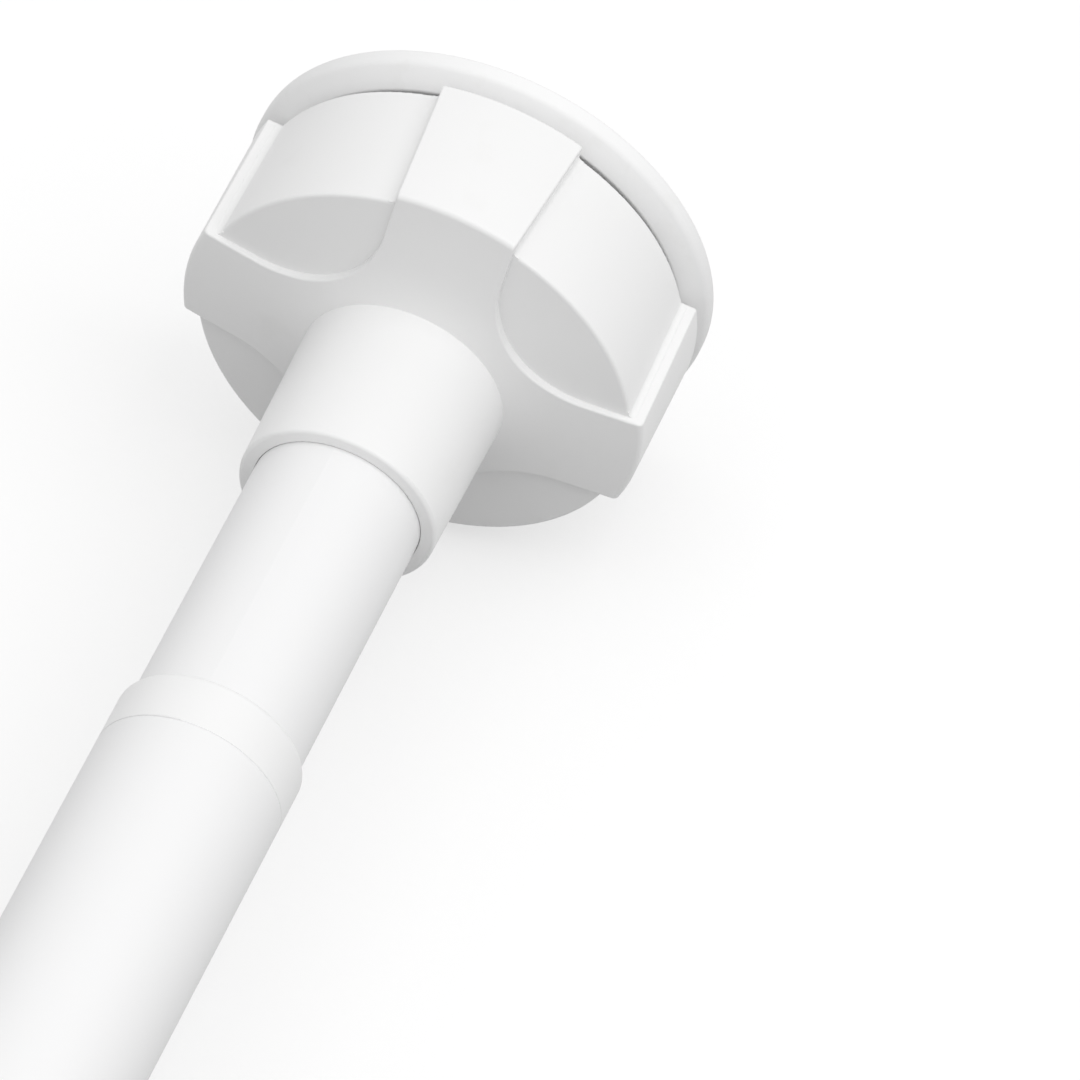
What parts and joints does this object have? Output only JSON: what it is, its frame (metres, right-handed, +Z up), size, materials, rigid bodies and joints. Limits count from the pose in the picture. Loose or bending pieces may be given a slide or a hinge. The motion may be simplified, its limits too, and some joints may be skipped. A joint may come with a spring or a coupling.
{
  "type": "spring tension rod",
  "caption": "Telescoping spring tension rod with a turning adjusting knob, a twist lock and soft ribbed wall pads at both ends.",
  "frame": {"origin": "centre of the wall contact plane at the knob end, on the rod's axis", "axes": "+X along the rod towards the wall at the knob end, so the rod runs towards -X; +Z up"},
  "size_m": [0.34, 0.0642, 0.0642],
  "materials": {
    "white_moulding": "fine satin white moulding",
    "white_tube": "smooth white powder coat",
    "white_bush": "smooth white moulding",
    "soft_pad": "soft matt white elastomer",
    "inner_moulding": "natural nylon",
    "steel": "zinc plated steel"
  },
  "bodies": {
    "knob_end_wall_pad": {"knob_end_pad": "soft_pad", "knob_end_pad_base": "inner_moulding", "thrust_washer": "inner_moulding", "retaining_ring": "steel"},
    "knob": {"adjusting_knob": "white_moulding", "adjusting_nut": "steel"},
    "inner_tube_group": {"inner_tube": "white_tube", "bolt_plug": "inner_moulding", "bolt_plug_pin": "steel", "adjusting_bolt": "steel", "spring_stop": "inner_moulding", "spring_stop_pin": "steel", "compression_spring": "steel", "rod_guide": "inner_moulding", "rod_guide_pins": "steel"},
    "spring_rod_group": {"spring_rod": "steel", "spring_cup": "inner_moulding", "spring_cup_nut": "steel", "lock_core": "inner_moulding", "lock_core_nut": "steel"},
    "lock_ring_group": {"lock_ring": "inner_moulding"},
    "outer_tube_group": {"outer_tube": "white_tube", "guide_bush": "white_bush", "outer_end_plug": "inner_moulding", "fixed_end_cap": "white_moulding", "fixed_end_pad_base": "inner_moulding", "cap_washer": "steel", "cap_screw": "steel", "fixed_end_pad": "soft_pad"}
  },
  "joints": [
    {"name": "knob_turn", "type": "hinge", "parent": "knob_end_wall_pad", "child": "knob", "pos_m": [0, 0, 0], "axis": [1, 0, 0], "range_deg": [0, 1080]},
    {"name": "tube_advance", "type": "slide", "parent": "knob_end_wall_pad", "child": "inner_tube_group", "axis": [-1, 0, 0], "range_m": [0, 0.012]},
    {"name": "spring_press", "type": "slide", "parent": "inner_tube_group", "child": "spring_rod_group", "axis": [1, 0, 0], "range_m": [0, 0.02], "stiffness_N_per_m": 1500, "springref_m": -0.008, "deforming": ["compression_spring"]},
    {"name": "twist_lock", "type": "hinge", "parent": "spring_rod_group", "child": "lock_ring_group", "pos_m": [-0.2772, 0, 0], "axis": [1, 0, 0], "range_deg": [-40, 40]},
    {"name": "telescope", "type": "slide", "parent": "lock_ring_group", "child": "outer_tube_group", "axis": [-1, 0, 0], "range_m": [-0.015, 0.1]}
  ],
  "couplings": [
    {"joint": "knob_turn", "follows": "tube_advance", "rad_per_m": 1570.8}
  ]
}
